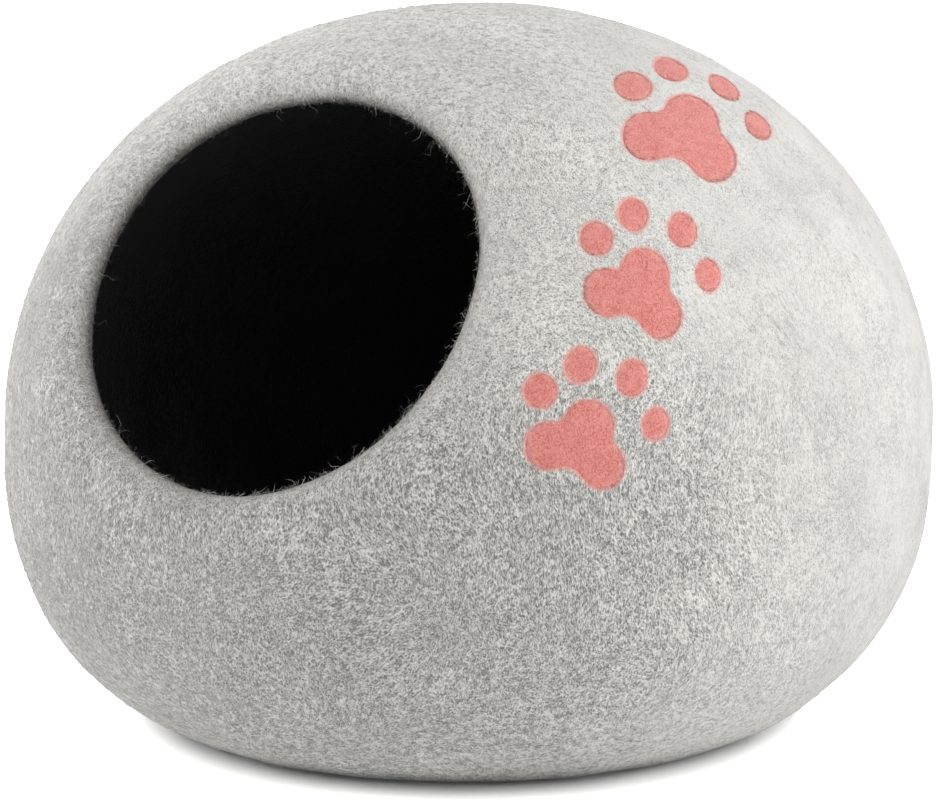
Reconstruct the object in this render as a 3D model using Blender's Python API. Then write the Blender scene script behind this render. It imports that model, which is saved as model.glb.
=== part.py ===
"""Felt cat cave: one seamless wool shell with a round mouth, and fifteen felt paw pads on its front.

The shell is a squat, hand-felted dome on a flat base. Its mouth looks forward and up, and the felt
draws inward all round it and ends in a thick, soft lip. Three paw prints, each of a palm and four
toes, are felted on to the outside. They climb from beside the mouth to the shoulder of the dome.

Sizes are in metres and angles in degrees. The origin is the middle of the base, +Z is up, and the
mouth looks towards -Y.
"""

import math

import bmesh
import bpy
from mathutils import Vector

MM = 0.001

# The outside of the shell. Its profile is a superellipse above the waist, its widest ring, and a
# squarer one below, which the flat base cuts off.
BODY_RADIUS = 228.5 * MM
WAIST_HEIGHT = 143.7 * MM
DOME_RISE = 199.2 * MM
DOME_FULLNESS = 2.03
BOWL_DROP = 164.6 * MM
BOWL_FULLNESS = 2.57
WAIST_CENTRE = Vector((0.0, 0.0, WAIST_HEIGHT))

# The felt wall, and the few long, shallow waves that hand felting leaves in it: a row for each wave,
# with its height and how fast it runs along each axis of the unit direction from the waist's centre.
WALL = 9.0 * MM
FELTING_WAVES = (
    {"height": 0.88 * MM, "x": 3.1, "y": 1.7, "z": -2.6, "phase": 2.80},
    {"height": 1.02 * MM, "x": -2.3, "y": 3.4, "z": 3.1, "phase": 4.93},
    {"height": 0.91 * MM, "x": 3.3, "y": -2.8, "z": 5.2, "phase": 3.58},
)

# The mouth: its axis rises from the horizontal, and its half angle, seen from the waist's centre,
# runs to the lip's foremost line and wavers a little round it.
MOUTH_RISE = 31.1
MOUTH_HALF_ANGLE = 28.6
MOUTH_WAVER = (
    {"waves": 2, "cosine": 0.000, "sine": 0.024},
    {"waves": 3, "cosine": -0.003, "sine": 0.007},
)
LIP_RADIUS = 6.0 * MM
ROLL_DEPTH = 8.0 * MM
ROLL_REACH = 34.0 * MM

# How finely the shell is drawn: segments round the mouth's axis, and rings along the wall, which
# stand closer together near the lip.
SEGMENTS = 64
OUTER_RINGS = 26
INNER_RINGS = 20
LIP_STEPS = 6
RING_CROWDING = 1.25

# The paw prints: where the middle of each palm lies, seen from the waist's centre (azimuth from -Y
# towards +X, elevation from the horizontal), how far the paw is turned clockwise, its stretch across
# and along its own length, and how far it slants to the right for each step ahead. The top one was
# laid over the shoulder, and it is stretched and slanted with the wool there.
PAWS = (
    {"name": "paw_low", "azimuth": 44.8, "elevation": 9.5, "turn": 25.0,
     "across": 1.00, "along": 1.00, "slant": 0.00},
    {"name": "paw_mid", "azimuth": 54.2, "elevation": 26.1, "turn": 31.0,
     "across": 1.00, "along": 1.14, "slant": 0.00},
    {"name": "paw_top", "azimuth": 75.8, "elevation": 47.3, "turn": 37.7,
     "across": 1.22, "along": 1.81, "slant": 0.40},
)

# One paw print, flat, in its own frame: x across and y towards the toes. The palm is the smooth union
# of four round lobes, and each toe is an ellipse.
PALM_LOBES = (
    {"x": 1.0 * MM, "y": 8.8 * MM, "radius": 12.0 * MM},
    {"x": -12.6 * MM, "y": -5.8 * MM, "radius": 10.8 * MM},
    {"x": 13.2 * MM, "y": -4.8 * MM, "radius": 10.8 * MM},
    {"x": 0.6 * MM, "y": -1.0 * MM, "radius": 10.4 * MM},
)
LOBE_BLEND = 5.0 * MM
TOES = (
    {"name": "toe_1", "x": -24.6 * MM, "y": 15.0 * MM, "half_width": 8.1 * MM, "half_length": 8.3 * MM},
    {"name": "toe_2", "x": -12.0 * MM, "y": 32.6 * MM, "half_width": 7.9 * MM, "half_length": 9.0 * MM},
    {"name": "toe_3", "x": 12.0 * MM, "y": 36.2 * MM, "half_width": 7.8 * MM, "half_length": 9.2 * MM},
    {"name": "toe_4", "x": 29.3 * MM, "y": 21.4 * MM, "half_width": 7.0 * MM, "half_length": 8.0 * MM},
)

# The section of every pad, from the middle of its underside round its soft edge to its crown: how far
# out as a share of its outline, and how high above its underside. The pads rest a hair's breadth off
# the shell.
PAD_SECTION = (
    {"reach": 0.00, "height": 0.0 * MM},
    {"reach": 0.50, "height": 0.0 * MM},
    {"reach": 0.97, "height": 0.0 * MM},
    {"reach": 1.00, "height": 0.6 * MM},
    {"reach": 0.94, "height": 1.4 * MM},
    {"reach": 0.50, "height": 1.9 * MM},
    {"reach": 0.00, "height": 2.0 * MM},
)
SEAT_GAP = 0.45 * MM
PALM_SEGMENTS = 40
TOE_SEGMENTS = 20

# Finishes: linear colour, roughness and metallic value.
GREY_FELT = {"name": "grey_felt", "color": (0.60, 0.60, 0.585), "roughness": 0.95, "metallic": 0.0}
CORAL_FELT = {"name": "coral_felt", "color": (0.76, 0.30, 0.27), "roughness": 0.95, "metallic": 0.0}

# The turn over which a slope of the surface is read, in radians, and how a palm's outline is found:
# halvings along each ray, from a distance that is well outside it.
SLOPE_STEP = 0.001
OUTLINE_HALVINGS = 30
OUTLINE_LIMIT = 60.0 * MM


def clear_scene():
    """Remove every object of the scene."""
    for item in list(bpy.data.objects):
        bpy.data.objects.remove(item, do_unlink=True)


def make_material(finish):
    """Return a plain material with the finish's colour, roughness and metallic value."""
    material = bpy.data.materials.new(finish["name"])
    material.use_nodes = True
    shader = material.node_tree.nodes["Principled BSDF"]
    shader.inputs["Base Color"].default_value = (*finish["color"], 1.0)
    shader.inputs["Roughness"].default_value = finish["roughness"]
    shader.inputs["Metallic"].default_value = finish["metallic"]
    return material


def felting_wave(direction):
    """Return how far the hand-felted surface stands out in this direction."""
    total = 0.0
    for wave in FELTING_WAVES:
        turn = wave["x"] * direction.x + wave["y"] * direction.y + wave["z"] * direction.z
        total += wave["height"] * math.sin(turn + wave["phase"])
    return total


def shell_radius(direction, inset=0.0):
    """Return the distance from the waist's centre to the felt, for a surface inset from the outside."""
    drop, fullness = (DOME_RISE, DOME_FULLNESS) if direction.z >= 0.0 else (BOWL_DROP, BOWL_FULLNESS)
    level = math.hypot(direction.x, direction.y) / (BODY_RADIUS - inset)
    rise = abs(direction.z) / (drop - inset)
    radius = (level**fullness + rise**fullness) ** (-1.0 / fullness) + felting_wave(direction)
    if direction.z < 0.0:
        radius = min(radius, (WAIST_HEIGHT - inset) / -direction.z)
    return radius


def shell_point(direction, inset=0.0, draw=0.0):
    """Return a point of the wall, drawn in towards the waist's centre."""
    return WAIST_CENTRE + direction * (shell_radius(direction, inset) - draw)


def mouth_ray(polar, around):
    """Return the unit direction at a polar angle from the mouth's axis, both angles in radians."""
    rise = math.radians(MOUTH_RISE)
    axis = Vector((0.0, -math.cos(rise), math.sin(rise)))
    side = Vector((-1.0, 0.0, 0.0))
    crown = side.cross(axis)
    rim = math.cos(around) * side + math.sin(around) * crown
    return math.cos(polar) * axis + math.sin(polar) * rim


def lip_angle(around):
    """Return the mouth's half angle at this turn round its axis, in radians."""
    waver = 1.0
    for row in MOUTH_WAVER:
        turn = row["waves"] * around
        waver += row["cosine"] * math.cos(turn) + row["sine"] * math.sin(turn)
    return math.radians(MOUTH_HALF_ANGLE) * waver


def roll_share(polar, around):
    """Return how far the wall has drawn in: 1 at the lip, and 0 past the reach of the roll."""
    travel = (polar - lip_angle(around)) * BODY_RADIUS
    return max(0.0, 1.0 - travel / ROLL_REACH) ** 2


def wall_point(polar, around, inset):
    """Return a point of the outer or the inner face of the wall, with its roll towards the mouth."""
    draw = ROLL_DEPTH * roll_share(polar, around)
    return shell_point(mouth_ray(polar, around), inset, draw)


def ring_angles(start, count):
    """Return the polar angles of the rings from the lip to the last one before the far pole."""
    span = math.pi - start
    return [start + span * (step / count) ** RING_CROWDING for step in range(1, count)]


def wall_section(around):
    """Return the wall's section at one turn: inner face, half-round lip and outer face."""
    start = lip_angle(around) + LIP_RADIUS / BODY_RADIUS
    edge = wall_point(start, around, 0.0)
    away = (wall_point(start + SLOPE_STEP, around, 0.0) - edge).normalized()
    ray = mouth_ray(start, around)
    outward = (ray - ray.dot(away) * away).normalized()
    middle = edge - outward * LIP_RADIUS

    lip = []
    for step in range(LIP_STEPS + 1):
        turn = math.pi * (1.0 - step / LIP_STEPS)
        lip.append(middle + LIP_RADIUS * (math.cos(turn) * outward - math.sin(turn) * away))

    join = lip[0] - wall_point(start, around, WALL)
    inner = []
    for polar in ring_angles(start, INNER_RINGS):
        inner.append(wall_point(polar, around, WALL) + join * roll_share(polar, around))
    outer = [wall_point(polar, around, 0.0) for polar in ring_angles(start, OUTER_RINGS)]
    return inner[::-1] + lip + outer


def add_object(name, mesh, material):
    """Shade a closed mesh, smooth where it is round, and put it in the scene."""
    surface = bpy.data.meshes.new(name)
    bmesh.ops.recalc_face_normals(mesh, faces=mesh.faces)
    mesh.to_mesh(surface)
    mesh.free()
    surface.materials.append(material)
    surface.shade_smooth()
    surface.set_sharp_from_angle(angle=math.radians(40.0))
    item = bpy.data.objects.new(name, surface)
    bpy.context.scene.collection.objects.link(item)
    return item


def skin_rings(mesh, first_point, rings, last_point):
    """Close a stack of rings into one skin, with a fan to a pole at each end."""
    first = mesh.verts.new(first_point)
    last = mesh.verts.new(last_point)
    loops = [[mesh.verts.new(point) for point in ring] for ring in rings]
    count = len(rings[0])
    for here in range(count):
        after = (here + 1) % count
        mesh.faces.new((first, loops[0][here], loops[0][after]))
        mesh.faces.new((last, loops[-1][after], loops[-1][here]))
        for near, far in zip(loops, loops[1:]):
            mesh.faces.new((near[here], far[here], far[after], near[after]))


def build_shell(material):
    """Build the hollow shell as one skin, from the inner face round the lip to the outer face."""
    sections = [wall_section(math.tau * step / SEGMENTS) for step in range(SEGMENTS)]
    rings = [list(ring) for ring in zip(*sections)]
    inner_pole = wall_point(math.pi, 0.0, WALL)
    outer_pole = wall_point(math.pi, 0.0, 0.0)
    mesh = bmesh.new()
    skin_rings(mesh, inner_pole, rings, outer_pole)
    return add_object("felt_shell", mesh, material)


def surface_normal(direction):
    """Return the outward normal of the shell's outside, from two short steps along it."""
    east = Vector((-direction.y, direction.x, 0.0)).normalized()
    north = direction.cross(east)
    here = shell_point(direction)
    along = shell_point((direction + SLOPE_STEP * east).normalized()) - here
    upward = shell_point((direction + SLOPE_STEP * north).normalized()) - here
    normal = along.cross(upward).normalized()
    return normal if normal.dot(direction) > 0.0 else -normal


def paw_point(paw, x, y, height):
    """Return the point above the shell for a flat point of a paw print, laid on the surface."""
    azimuth = math.radians(paw["azimuth"])
    elevation = math.radians(paw["elevation"])
    level = math.cos(elevation)
    direction = Vector((level * math.sin(azimuth), -level * math.cos(azimuth), math.sin(elevation)))
    centre = shell_point(direction)
    normal = surface_normal(direction)
    east = Vector((0.0, 0.0, 1.0)).cross(normal).normalized()
    north = normal.cross(east)
    turn = math.radians(paw["turn"])
    right = math.cos(turn) * east - math.sin(turn) * north
    ahead = math.sin(turn) * east + math.cos(turn) * north
    across = x * paw["across"] + y * paw["slant"]
    flat = centre + across * right + y * paw["along"] * ahead
    ray = (flat - WAIST_CENTRE).normalized()
    return shell_point(ray) + surface_normal(ray) * (SEAT_GAP + height)


def smooth_union(first, second):
    """Return the smaller of two distances, blended where they are close."""
    share = max(0.0, LOBE_BLEND - abs(first - second)) / LOBE_BLEND
    return min(first, second) - share * share * LOBE_BLEND / 4.0


def palm_distance(x, y):
    """Return the distance from a flat point to the palm's outline, negative inside."""
    total = OUTLINE_LIMIT
    for lobe in PALM_LOBES:
        total = smooth_union(total, math.hypot(x - lobe["x"], y - lobe["y"]) - lobe["radius"])
    return total


def palm_outline():
    """Return the palm's outline round its middle, found by halving along each ray."""
    outline = []
    for step in range(PALM_SEGMENTS):
        turn = math.tau * step / PALM_SEGMENTS
        inside = 0.0
        outside = OUTLINE_LIMIT
        for _ in range(OUTLINE_HALVINGS):
            middle = (inside + outside) / 2.0
            if palm_distance(middle * math.cos(turn), middle * math.sin(turn)) < 0.0:
                inside = middle
            else:
                outside = middle
        outline.append((inside * math.cos(turn), inside * math.sin(turn)))
    return outline


def toe_outline(toe):
    """Return a toe's outline round its own middle: an ellipse."""
    turns = [math.tau * step / TOE_SEGMENTS for step in range(TOE_SEGMENTS)]
    return [(toe["half_width"] * math.cos(turn), toe["half_length"] * math.sin(turn)) for turn in turns]


def build_pad(name, paw, middle, outline, material):
    """Build one felt pad of a paw print: a thin, closed piece with a soft edge, laid on the shell."""
    rings = []
    for row in PAD_SECTION[1:-1]:
        ring = []
        for x, y in outline:
            across = middle[0] + row["reach"] * x
            along = middle[1] + row["reach"] * y
            ring.append(paw_point(paw, across, along, row["height"]))
        rings.append(ring)
    underside = paw_point(paw, *middle, PAD_SECTION[0]["height"])
    crown = paw_point(paw, *middle, PAD_SECTION[-1]["height"])
    mesh = bmesh.new()
    skin_rings(mesh, underside, rings, crown)
    return add_object(name, mesh, material)


def build_paw(paw, material):
    """Build the palm and the four toes of one paw print."""
    build_pad(paw["name"] + "_palm", paw, (0.0, 0.0), palm_outline(), material)
    for toe in TOES:
        middle = (toe["x"], toe["y"])
        build_pad(paw["name"] + "_" + toe["name"], paw, middle, toe_outline(toe), material)


def main():
    """Build the shell and its three paw prints."""
    clear_scene()
    build_shell(make_material(GREY_FELT))
    coral = make_material(CORAL_FELT)
    for paw in PAWS:
        build_paw(paw, coral)


main()
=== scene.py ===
"""The looks of the felt cat cave: heathered wool, coral paw pads, loose fibres and a pale studio.

The shell is one hand-felted wall. Its outside is a superellipse of revolution with a few slow
waves, and it draws inward to a soft lip round the mouth. The paw pads are pressed into it, each in
a shallow pocket of its own outline. Loose fibres stand on the wool, at the lip and round the pads.

Sizes are in metres and angles in degrees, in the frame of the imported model: +Z is up, the base
lies on the floor and the mouth looks towards -Y.
"""

from __future__ import annotations

import logging
import math
from dataclasses import dataclass
from enum import Enum
from typing import Any, Sequence

import bmesh
import bpy
import numpy as np
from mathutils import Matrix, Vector


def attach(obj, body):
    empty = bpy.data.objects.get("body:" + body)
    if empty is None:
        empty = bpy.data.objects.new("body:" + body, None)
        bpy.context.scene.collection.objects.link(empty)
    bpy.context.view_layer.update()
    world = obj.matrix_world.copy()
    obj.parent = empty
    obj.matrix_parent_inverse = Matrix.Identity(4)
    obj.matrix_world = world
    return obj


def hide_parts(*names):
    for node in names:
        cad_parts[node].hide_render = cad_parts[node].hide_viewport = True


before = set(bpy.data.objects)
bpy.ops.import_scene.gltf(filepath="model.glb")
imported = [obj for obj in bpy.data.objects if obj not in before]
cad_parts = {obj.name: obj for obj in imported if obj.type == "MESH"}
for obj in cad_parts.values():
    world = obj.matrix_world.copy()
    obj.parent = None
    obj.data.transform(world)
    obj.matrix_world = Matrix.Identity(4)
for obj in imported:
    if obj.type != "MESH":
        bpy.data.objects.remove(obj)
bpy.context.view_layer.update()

Array = np.ndarray
Colour = tuple[float, float, float]
Triple = tuple[float, float, float]
Item = bpy.types.Object
Material = bpy.types.Material
Socket = bpy.types.NodeSocket
MM = 0.001
BODY = "root"
SHELL_NAME = "felt_shell_wool"
UP = (0.0, 0.0, 1.0)
FAR = 60.0 * MM  # past every pad, in a paw's flat frame
LUMP_ROUGHNESS = 0.6
SMOOTH = {"interpolation_type": "SMOOTHSTEP"}
PALM_SEGMENTS = 120
TOE_SEGMENTS = 64
WOOL_SHINE = 0.18
WOOL_SHEEN_ROUGHNESS = 0.55
LOG = logging.getLogger("felt_cave")


class Finish(Enum):
    """The finishes of the record, by the names of their slots."""

    GREY = "grey_felt"
    CORAL = "coral_felt"


class Mark(Enum):
    """The names of what the meshes carry from point to point for their materials and fibres."""

    LINING = "lining"
    PAD_EDGE = "pad_edge"
    RIM = "rim"
    GROWTH = "growth"
    FLOW = "flow"
    TONE = "tone"
    ALONG = "along"
    ROUND = "round"
    STRAND_MAP = "OFBake"


# ---- Shader sums ----


class Sock:
    """A shader socket that can stand in plain sums."""

    def __init__(self, paint: Paint, socket: Socket) -> None:
        """Keep the socket and the tree that it belongs to."""
        self.paint = paint
        self.socket = socket

    def maths(self, operation: str, *others: Any, clamp: bool = False) -> Sock:
        """Add a Math node to this value.

        Args:
            operation: Blender's name of the operation.
            others: the values that follow this one, as numbers or sockets.
            clamp: whether the result stays within 0 and 1.

        Returns:
            The node's result.
        """
        settings = {"operation": operation, "use_clamp": clamp}
        return self.paint.node("ShaderNodeMath", settings, dict(enumerate((self, *others))))

    def __add__(self, other: Any) -> Sock:
        """Return the sum."""
        return self.maths("ADD", other)

    def __sub__(self, other: Any) -> Sock:
        """Return the difference."""
        return self.maths("SUBTRACT", other)

    def __rsub__(self, other: Any) -> Sock:
        """Return the difference, for a number on the left."""
        return self.paint.value(other).maths("SUBTRACT", self)

    def __mul__(self, other: Any) -> Sock:
        """Return the product."""
        return self.maths("MULTIPLY", other)

    def size(self) -> Sock:
        """Return the value without its sign."""
        return self.maths("ABSOLUTE")

    def clamp(self) -> Sock:
        """Return the value kept within 0 and 1."""
        return self.maths("ADD", 0.0, clamp=True)

    def ridge(self, edge: float) -> Sock:
        """Return thin lines, 1 where a pattern of 0 to 1 crosses its middle."""
        return (1.0 - (self * 2.0 - 1.0).size() * edge).clamp()

    def between(self, low: float, high: float) -> Sock:
        """Return a soft step: 0 below low, 1 above high."""
        places = {"Value": self, "From Min": low, "From Max": high}
        return self.paint.node("ShaderNodeMapRange", SMOOTH, places)


class Nodes:
    """A node tree, with one way to add any node."""

    def __init__(self, tree: bpy.types.NodeTree) -> None:
        """Keep the tree."""
        self.tree = tree

    @staticmethod
    def find(sockets: Any, key: Any) -> Socket:
        """Find a socket.

        Args:
            sockets: a node's inputs or outputs.
            key: the number, the identifier or the name.

        Returns:
            The socket.
        """
        if isinstance(key, int):
            return sockets[key]
        for socket in sockets:
            if socket.identifier == key:
                return socket
        return sockets[key]

    def add(self, kind: str, settings: dict[str, Any], values: dict[Any, Any]) -> Any:
        """Add a node: first its settings, then what its sockets hold.

        Args:
            kind: Blender's name of the node's type.
            settings: the node's own properties.
            values: numbers, colours, vectors or sockets, by the input's number, identifier or name.

        Returns:
            The node's outputs.
        """
        made = self.tree.nodes.new(kind)
        for name, setting in settings.items():
            setattr(made, name, setting)
        for key, value in values.items():
            socket = self.find(made.inputs, key)
            if isinstance(value, Sock):
                value = value.socket
            if isinstance(value, Socket):
                self.tree.links.new(value, socket)
            elif isinstance(value, tuple) and socket.type == "RGBA":
                socket.default_value = (*value, 1.0)
            else:
                socket.default_value = value
        return made.outputs


class Paint(Nodes):
    """A material's node tree."""

    def __init__(self, name: str) -> None:
        """Start an empty material.

        Args:
            name: the material's name.
        """
        self.material = bpy.data.materials.new(name)
        self.material.use_nodes = True
        super().__init__(self.material.node_tree)
        self.tree.nodes.clear()

    def node(
        self, kind: str, settings: dict[str, Any], values: dict[Any, Any], result: Any = 0
    ) -> Sock:
        """Add a node, as add does, and return the wanted output."""
        return Sock(self, self.find(self.add(kind, settings, values), result))

    def value(self, number: float) -> Sock:
        """Return a number as a socket."""
        return self.node("ShaderNodeMath", {"operation": "ADD"}, {0: number, 1: 0.0})

    def place(self) -> Sock:
        """Return the point's place on the object."""
        return self.node("ShaderNodeTexCoord", {}, {}, "Object")

    def mark(self, mark: Mark) -> Sock:
        """Return what the mesh carries under this name, as a number."""
        return self.node("ShaderNodeAttribute", {"attribute_name": mark.value}, {}, "Fac")

    def vector(self, operation: str, *values: Any, result: Any = 0, **more: Any) -> Sock:
        """Return a sum of vectors.

        Args:
            operation: Blender's name of the operation.
            values: the vectors, in order.
            result: which output is wanted: "Value" for a number.
            more: other inputs of the node, by name.

        Returns:
            The sum.
        """
        places = dict(enumerate(values)) | {name.title(): value for name, value in more.items()}
        return self.node("ShaderNodeVectorMath", {"operation": operation}, places, result)

    def along(self, place: Sock, side: Triple) -> Sock:
        """Return how far places lie towards one side."""
        return self.vector("DOT_PRODUCT", place, side, result="Value")

    def blend(self, share: Any, first: Any, second: Any) -> Sock:
        """Return a colour between two others."""
        values = {"Factor_Float": share, "A_Color": first, "B_Color": second}
        return self.node("ShaderNodeMix", {"data_type": "RGBA"}, values, "Result_Color")

    def noise(
        self, place: Sock, scale: float, detail: float, result: str = "Fac", **more: float
    ) -> Sock:
        """Return a noise pattern.

        Args:
            place: where it is read.
            scale: how many lumps it has to the metre.
            detail: how many finer layers it has.
            result: "Fac" for a number or "Color" for three.
            more: other inputs of the node, by name.

        Returns:
            The pattern.
        """
        values = {"Vector": place, "Scale": scale, "Detail": detail}
        values |= {name.title(): value for name, value in more.items()}
        return self.node("ShaderNodeTexNoise", {}, values, result)

    def lumps(self, place: Sock, scale: float, detail: float) -> Sock:
        """Return a rough noise pattern about zero."""
        return self.noise(place, scale, detail, roughness=LUMP_ROUGHNESS) - 0.5

    def bump(self, height: Sock, distance: float, strength: float) -> Sock:
        """Return a normal that is bent by a height pattern."""
        values = {"Height": height, "Distance": distance, "Strength": strength}
        return self.node("ShaderNodeBump", {}, values)

    def wool(
        self, colour: Any, roughness: Any, sheen: float = 0.0, normal: Sock | None = None
    ) -> Material:
        """Finish the material as wool.

        Args:
            colour: the base colour.
            roughness: how matt it is.
            sheen: the share of light that the loose fibres send back at a glance.
            normal: the bent normal, if any.

        Returns:
            The finished material.
        """
        values = {
            "Base Color": colour,
            "Roughness": roughness,
            "Specular IOR Level": WOOL_SHINE,
            "Sheen Weight": sheen,
            "Sheen Roughness": WOOL_SHEEN_ROUGHNESS,
        }
        if normal is not None:
            values["Normal"] = normal
        shader = self.node("ShaderNodeBsdfPrincipled", {}, values)
        self.add("ShaderNodeOutputMaterial", {}, {"Surface": shader})
        return self.material


# ---- Finishes ----


@dataclass(frozen=True)
class Lay:
    """A layer of strands: how fine and sharp it is, how much it counts and how it is drawn out."""

    per_metre: float
    edge: float
    weight: float
    stretch: Triple
    shift: Triple


@dataclass(frozen=True)
class Region:
    """A part of the shell where the wool's lightness or texture changes, mostly as painted light or
    shade: its side, its soft border and how calm it is.
    """

    side: Triple
    low: float
    high: float
    waver: float = 0.0
    calm: float = 0.0

    def mask(self, paint: Paint, place: Sock, broad: Sock) -> Sock:
        """Return where the region lies.

        Args:
            paint: the material's tree.
            place: the point's place on the object.
            broad: the slow noise that the border wavers with.

        Returns:
            0 outside the region and 1 inside it.
        """
        reach = paint.along(place, self.side)
        if self.waver:
            reach = reach + broad * self.waver
        return reach.between(self.low, self.high)


@dataclass(frozen=True)
class HeatherFelt:
    """Light grey heathered wool, felted from pale and dark strands, with painted light and shade:
    its lightness is painted by region, the lip is painted darker as it turns inward, and the inner
    face is painted near-black as the shade inside the cave.
    """

    pale: Colour = (0.80, 0.786, 0.748)
    plain: Colour = (0.725, 0.713, 0.680)
    dark: Colour = (0.20, 0.1965, 0.186)
    # Painted shade: the tone that the lip is darkened by where it turns away from the light.
    worn: Colour = (0.22, 0.205, 0.185)
    # Painted shade: the near-black of the inner face, for the deep shade inside the cave.
    lining: Colour = (0.0065, 0.0056, 0.0048)
    halo: Colour = (0.765, 0.345, 0.305)
    wander: float = 2.0 * MM
    wander_scale: float = 190.0
    sway: float = 45.0 * MM
    sway_scale: float = 11.0
    cloud_scale: float = 9.0
    patch_scale: float = 42.0
    tuft_scale: float = 330.0
    grain_scale: float = 1450.0
    grain_stretch: Triple = (1.0, 1.0, 0.5)
    grain_weight: float = 1.9
    stray_scale: float = 105.0
    stray_edge: float = 26.0
    stray_stretch: Triple = (1.0, 1.0, 0.6)
    stray_break: float = 60.0
    stray_gaps: tuple[float, float] = (0.42, 0.58)
    stray_weight: float = 0.42
    # Regions of painted light and shade: the right side is painted lighter and plainer, the lower
    # right and the top lighter, the left darker and calmer, and the texture calmer at the bright
    # right edge; the base is painted lighter, and the lip's painted shade starts earlier on the
    # right. The crown region only adds tufts.
    bleached: Region = Region((0.842, 0.540, 0.450), 0.165, 0.235, 0.08, 0.28)
    flank: Region = Region((0.842, 0.540, -0.350), 0.03, 0.13, 0.08, 0.15)
    quiet: Region = Region((-0.842, -0.540, 0.0), 0.08, 0.22, 0.08, 0.32)
    shoulder: Region = Region(UP, 0.16, 0.25, 0.06, 0.12)
    verge: Region = Region((0.842, 0.540, 0.0), 0.185, 0.215, 0.0, 0.22)
    crown: Region = Region(UP, 0.27, 0.335)
    above_sole: Region = Region(UP, 0.02, 0.09)
    turned: Region = Region((0.842, 0.540, 0.0), -0.10, 0.02)
    # The base and mat levels set the wool's own tone; the rises paint light on their regions and
    # the fall paints shade on the left.
    base_level: float = 0.39
    mat_level: float = 0.40
    bleached_rise: float = 0.20
    bleached_patches: float = 0.75
    shoulder_rise: float = 0.30
    shoulder_limit: float = 0.8
    flank_rise: float = 0.25
    quiet_fall: float = 0.09
    sole_rise: float = 0.07
    fray_weight: float = 1.6
    halo_fray: float = 1.3
    halo_reach: tuple[float, float] = (-0.3, 1.7)
    halo_strength: float = 0.93
    # The lip's painted shade: how much earlier it starts on the right, its ragged edge, where it
    # darkens the wool, and where the near-black painted shade of the inside takes over.
    turned_weight: float = 0.20
    turned_depth: float = 0.35
    lining_fray: float = 0.20
    worn_reach: tuple[float, float] = (0.16, 0.58)
    worn_strength: float = 0.72
    lining_reach: tuple[float, float] = (0.40, 0.66)
    relief: float = 0.42 * MM
    lays: tuple[Lay, ...] = (
        Lay(880.0, 4.0, 0.42, (1.0, 1.0, 0.55), (0.0, 0.0, 0.0)),
        Lay(1450.0, 3.4, 0.36, (1.0, 0.8, 0.7), (3.1, 0.7, 1.9)),
        Lay(420.0, 7.0, 0.36, (0.8, 1.0, 0.5), (1.3, 4.2, 0.4)),
    )

    def strands(self, paint: Paint, place: Sock, lay: Lay) -> Sock:
        """Return the thin winding lines of one layer.

        Args:
            paint: the material's tree.
            place: where the pattern is read.
            lay: the layer.

        Returns:
            1 on the lines and 0 between them.
        """
        drawn = paint.vector("MULTIPLY", place, lay.stretch)
        moved = paint.vector("ADD", drawn, lay.shift)
        return paint.noise(moved, lay.per_metre, 1.0, roughness=0.4).ridge(lay.edge)

    def stray(self, paint: Paint, place: Sock) -> Sock:
        """Return the few long pale strands that wander over the felt.

        Args:
            paint: the material's tree.
            place: where the pattern is read.

        Returns:
            1 on the strands and 0 between them.
        """
        drawn = paint.vector("MULTIPLY", place, self.stray_stretch)
        line = paint.noise(drawn, self.stray_scale, 2.0, roughness=0.55).ridge(self.stray_edge)
        gaps = paint.noise(drawn, self.stray_break, 1.0, roughness=0.4)
        return line * gaps.between(*self.stray_gaps)

    def drifted(self, paint: Paint, place: Sock, per_metre: float, reach: float) -> Sock:
        """Return places moved about by a slow noise.

        Args:
            paint: the material's tree.
            place: the places.
            per_metre: how many lumps the noise has to the metre.
            reach: how far apart the moves may be.

        Returns:
            The moved places.
        """
        noise = paint.noise(place, per_metre, 1.0, "Color")
        drift = paint.vector("SUBTRACT", noise, (0.5, 0.5, 0.5))
        return paint.vector("ADD", place, paint.vector("SCALE", drift, scale=reach))

    def material(self) -> Material:
        """Return the finished material.

        Returns:
            The wool: heathered outside, with painted light and shade by region, stained round the
                pads, painted darker on the lip and near-black on the inner face as painted shade.
        """
        paint = Paint("heather_felt")
        place = paint.place()
        swayed = self.drifted(paint, place, self.sway_scale, self.sway)
        warped = self.drifted(paint, swayed, self.wander_scale, self.wander)

        main, fine, coarse = (self.strands(paint, warped, lay) for lay in self.lays)
        weights = [lay.weight for lay in self.lays]
        drawn = paint.vector("MULTIPLY", swayed, self.grain_stretch)
        grain = paint.lumps(drawn, self.grain_scale, 1.0)
        tufts = paint.lumps(warped, self.tuft_scale, 2.0)
        mat = main * weights[0] + fine * weights[1] + coarse * weights[2]
        mat = mat + grain * self.grain_weight - self.mat_level

        broad = paint.lumps(place, self.cloud_scale, 3.0)
        calmer = (self.bleached, self.flank, self.quiet, self.shoulder, self.verge)
        masks = [region.mask(paint, place, broad) for region in calmer]
        bleached, flank, quiet, shoulder, _ = masks
        crown = self.crown.mask(paint, place, broad)
        sole = 1.0 - self.above_sole.mask(paint, place, broad)
        # The texture is calmer where light or shade is painted on.
        spread = paint.value(1.0)
        for region, mask in zip(calmer, masks):
            spread = spread - mask * region.calm

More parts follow.
